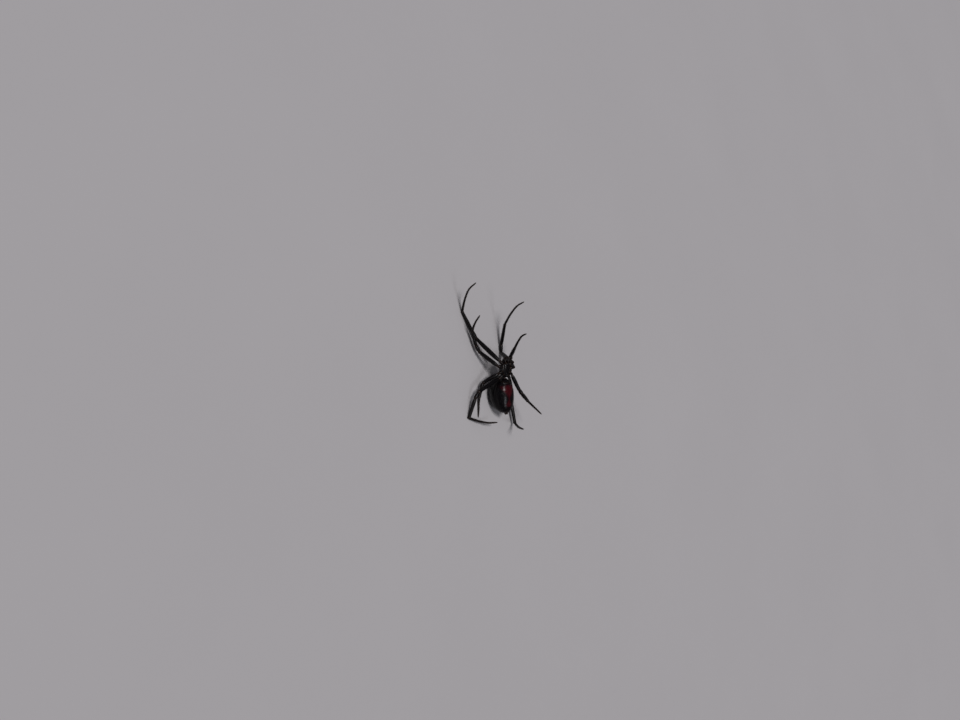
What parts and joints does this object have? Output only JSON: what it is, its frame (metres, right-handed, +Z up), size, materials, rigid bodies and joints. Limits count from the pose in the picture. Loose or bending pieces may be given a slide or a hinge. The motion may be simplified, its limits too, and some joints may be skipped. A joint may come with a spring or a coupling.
{
  "type": "black widow spider",
  "caption": "Glossy black adult female widow spider lying on its back with the legs raised and bent, a life-size model with the red hourglass upward.",
  "frame": {"origin": "on the floor, under the middle of the whole outline", "axes": "+Y toward the head end as seen from above, +Z up, from the spider's back to its belly side, +X toward the spider's left"},
  "size_m": [0.0162, 0.0302, 0.0106],
  "materials": {
    "cuticle": "glossy black cuticle, red hourglass on the underside of the abdomen",
    "leg_cuticle": "glossy black leg cuticle, brown where it thins at the joints and feet",
    "eye": "clear dark lens, mirror smooth",
    "seta": "fine dark bristles"
  },
  "bodies": {
    "root": {"cephalothorax": "cuticle", "abdomen": "cuticle", "pedicel": "cuticle", "spinnerets": "cuticle", "chelicera_left": "cuticle", "chelicera_right": "cuticle", "mouthparts": "cuticle", "palp_left": "leg_cuticle", "palp_right": "leg_cuticle", "leg_1_left_coxa": "leg_cuticle", "leg_1_left_femur": "leg_cuticle", "leg_1_left_patella": "leg_cuticle", "leg_1_left_tibia": "leg_cuticle", "leg_1_left_metatarsus_tarsus": "leg_cuticle", "leg_2_left_coxa": "leg_cuticle", "leg_2_left_femur": "leg_cuticle", "leg_2_left_patella": "leg_cuticle", "leg_2_left_tibia": "leg_cuticle", "leg_2_left_metatarsus_tarsus": "leg_cuticle", "leg_3_left_coxa": "leg_cuticle", "leg_3_left_femur": "leg_cuticle", "leg_3_left_patella": "leg_cuticle", "leg_3_left_tibia": "leg_cuticle", "leg_3_left_metatarsus_tarsus": "leg_cuticle", "leg_4_left_coxa": "leg_cuticle", "leg_4_left_femur": "leg_cuticle", "leg_4_left_patella": "leg_cuticle", "leg_4_left_tibia": "leg_cuticle", "leg_4_left_metatarsus_tarsus": "leg_cuticle", "leg_1_right_coxa": "leg_cuticle", "leg_1_right_femur": "leg_cuticle", "leg_1_right_patella": "leg_cuticle", "leg_1_right_tibia": "leg_cuticle", "leg_1_right_metatarsus_tarsus": "leg_cuticle", "leg_2_right_coxa": "leg_cuticle", "leg_2_right_femur": "leg_cuticle", "leg_2_right_patella": "leg_cuticle", "leg_2_right_tibia": "leg_cuticle", "leg_2_right_metatarsus_tarsus": "leg_cuticle", "leg_3_right_coxa": "leg_cuticle", "leg_3_right_femur": "leg_cuticle", "leg_3_right_patella": "leg_cuticle", "leg_3_right_tibia": "leg_cuticle", "leg_3_right_metatarsus_tarsus": "leg_cuticle", "leg_4_right_coxa": "leg_cuticle", "leg_4_right_femur": "leg_cuticle", "leg_4_right_patella": "leg_cuticle", "leg_4_right_tibia": "leg_cuticle", "leg_4_right_metatarsus_tarsus": "leg_cuticle", "eye_anterior_median_left": "eye", "eye_anterior_lateral_left": "eye", "eye_posterior_median_left": "eye", "eye_posterior_lateral_left": "eye", "eye_anterior_median_right": "eye", "eye_anterior_lateral_right": "eye", "eye_posterior_median_right": "eye", "eye_posterior_lateral_right": "eye"}
  },
  "joints": []
}
